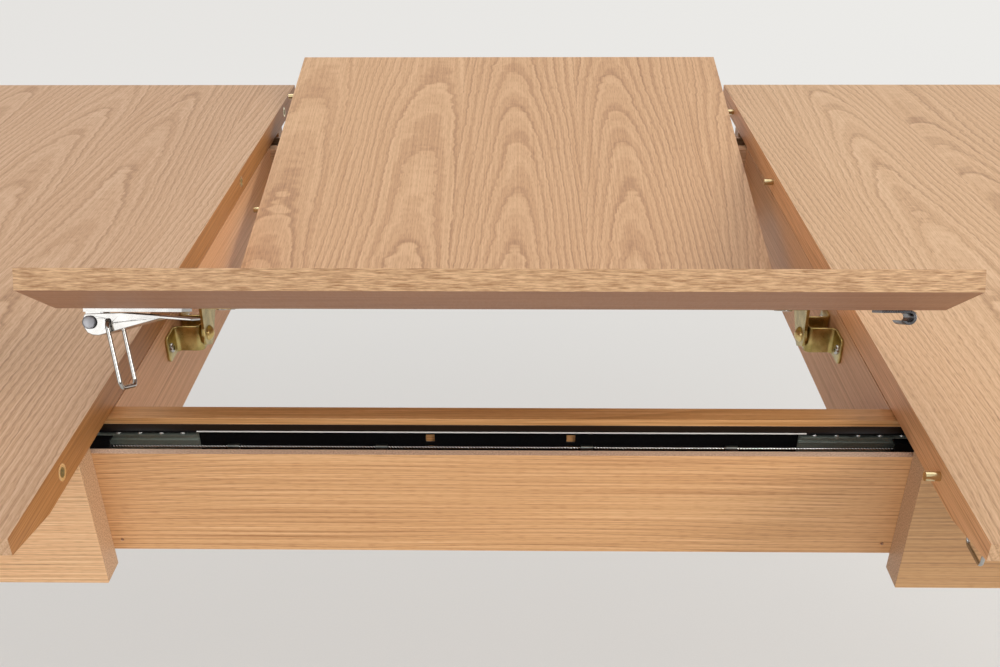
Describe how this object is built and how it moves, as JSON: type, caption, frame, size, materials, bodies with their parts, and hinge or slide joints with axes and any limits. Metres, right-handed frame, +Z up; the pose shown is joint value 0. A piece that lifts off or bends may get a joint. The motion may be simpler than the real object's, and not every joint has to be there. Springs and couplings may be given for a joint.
{
  "type": "extending table",
  "caption": "Oak table drawn apart on ball-bearing slides, with a folding butterfly leaf half unfolded in a V between the two halves of its top.",
  "frame": {"origin": "on the floor, under the middle of the gap between the two halves of the top", "axes": "+X along the table to the right half, +Y to the rear (the far long side), +Z up"},
  "size_m": [2.128, 0.9, 0.886],
  "materials": {
    "oak_veneer": "open-pored oak veneer under satin lacquer",
    "brass": "turned brass",
    "nickel_plate": "nickel plated pressed steel",
    "black_steel": "black semi-gloss coated steel",
    "steel": "bright steel",
    "yellow_zinc": "yellow passivated zinc plate"
  },
  "bodies": {
    "centre_frame": {"front_filler_board": "oak_veneer", "rear_filler_board": "oak_veneer", "front_slide_board": "oak_veneer", "rear_slide_board": "oak_veneer", "trough_floors": "oak_veneer", "left_cross_rail": "oak_veneer", "right_cross_rail": "oak_veneer", "front_slide_channel": "black_steel", "rear_slide_channel": "black_steel", "wire_ropes": "steel", "rope_pulleys": "steel", "rope_ferrules": "steel", "pivot_brackets": "yellow_zinc", "bracket_screws": "yellow_zinc"},
    "left_half": {"left_top": "oak_veneer", "left_front_apron": "oak_veneer", "left_rear_apron": "oak_veneer", "left_end_apron": "oak_veneer", "left_front_leg": "oak_veneer", "left_rear_leg": "oak_veneer", "left_corner_braces": "oak_veneer", "left_slide_members": "black_steel", "left_spacer_blocks": "oak_veneer", "left_rope_clamps": "steel", "left_top_sockets": "brass", "left_top_keeper": "nickel_plate"},
    "right_half": {"right_top": "oak_veneer", "right_front_apron": "oak_veneer", "right_rear_apron": "oak_veneer", "right_end_apron": "oak_veneer", "right_front_leg": "oak_veneer", "right_rear_leg": "oak_veneer", "right_corner_braces": "oak_veneer", "right_slide_members": "black_steel", "right_spacer_blocks": "oak_veneer", "right_rope_clamps": "steel", "right_top_pins": "brass", "right_latch_base": "nickel_plate"},
    "left_front_cage": {"left_front_ball_cage": "steel"},
    "left_rear_cage": {"left_rear_ball_cage": "steel"},
    "right_front_cage": {"right_front_ball_cage": "steel"},
    "right_rear_cage": {"right_rear_ball_cage": "steel"},
    "leaf_near": {"near_leaf_half": "oak_veneer", "near_leaf_pins": "brass", "near_leaf_sockets": "brass", "near_hinge_cups": "brass", "pivot_arms": "yellow_zinc", "pivot_rivets": "yellow_zinc", "arm_screws": "yellow_zinc", "left_latch_base": "nickel_plate", "leaf_keeper": "nickel_plate"},
    "leaf_far": {"far_leaf_half": "oak_veneer", "far_leaf_pins": "brass", "far_leaf_sockets": "brass", "far_hinge_cups": "brass"},
    "fold_links": {"fold_hinge_links": "brass"},
    "left_lever": {"left_latch_lever": "nickel_plate"},
    "right_lever": {"right_latch_lever": "nickel_plate"},
    "left_bail": {"left_latch_bail": "nickel_plate"},
    "right_bail": {"right_latch_bail": "nickel_plate"}
  },
  "joints": [
    {"name": "left_slide", "type": "slide", "parent": "centre_frame", "child": "left_half", "axis": [1, 0, 0], "range_m": [0, 0.0162]},
    {"name": "right_slide", "type": "slide", "parent": "centre_frame", "child": "right_half", "axis": [-1, 0, 0], "range_m": [0, 0.0162]},
    {"name": "left_front_cage_roll", "type": "slide", "parent": "centre_frame", "child": "left_front_cage", "axis": [1, 0, 0], "range_m": [0, 0.0081]},
    {"name": "left_rear_cage_roll", "type": "slide", "parent": "centre_frame", "child": "left_rear_cage", "axis": [1, 0, 0], "range_m": [0, 0.0081]},
    {"name": "right_front_cage_roll", "type": "slide", "parent": "centre_frame", "child": "right_front_cage", "axis": [-1, 0, 0], "range_m": [0, 0.0081]},
    {"name": "right_rear_cage_roll", "type": "slide", "parent": "centre_frame", "child": "right_rear_cage", "axis": [-1, 0, 0], "range_m": [0, 0.0081]},
    {"name": "leaf_pivot", "type": "hinge", "parent": "centre_frame", "child": "leaf_near", "pos_m": [0, -0.1274, 0.7074], "axis": [1, 0, 0], "range_deg": [-96.5, 25.77]},
    {"name": "leaf_fold", "type": "hinge", "parent": "leaf_near", "child": "leaf_far", "pos_m": [0, 0.00598, 0.69064], "axis": [1, 0, 0], "range_deg": [-37.81, 141.56]},
    {"name": "fold_link_turn", "type": "hinge", "parent": "leaf_near", "child": "fold_links", "pos_m": [0, 0.00598, 0.69064], "axis": [1, 0, 0], "range_deg": [-18.91, 70.78]},
    {"name": "left_lever_turn", "type": "hinge", "parent": "leaf_near", "child": "left_lever", "pos_m": [-0.2315, -0.35162, 0.83086], "axis": [0, 0.9005, -0.4348], "range_deg": [0, 95]},
    {"name": "left_bail_swing", "type": "hinge", "parent": "left_lever", "child": "left_bail", "pos_m": [-0.221, -0.35136, 0.8314], "axis": [0, -0.9005, 0.4348], "range_deg": [-95.5, 9.5]},
    {"name": "right_lever_turn", "type": "hinge", "parent": "right_half", "child": "right_lever", "pos_m": [0.2852, -0.376, 0.7211], "axis": [0, 1, 0], "range_deg": [0, 95]},
    {"name": "right_bail_swing", "type": "hinge", "parent": "right_lever", "child": "right_bail", "pos_m": [0.2957, -0.376, 0.7217], "axis": [0, -1, 0], "range_deg": [-85, 20]}
  ],
  "couplings": [
    {"joint": "right_slide", "follows": "left_slide", "ratio": 1},
    {"joint": "left_front_cage_roll", "follows": "left_slide", "ratio": 0.5},
    {"joint": "left_rear_cage_roll", "follows": "left_slide", "ratio": 0.5},
    {"joint": "right_front_cage_roll", "follows": "left_slide", "ratio": 0.5},
    {"joint": "right_rear_cage_roll", "follows": "left_slide", "ratio": 0.5},
    {"joint": "leaf_fold", "follows": "leaf_pivot", "ratio": -1.4668},
    {"joint": "fold_link_turn", "follows": "leaf_pivot", "ratio": -0.73341}
  ]
}
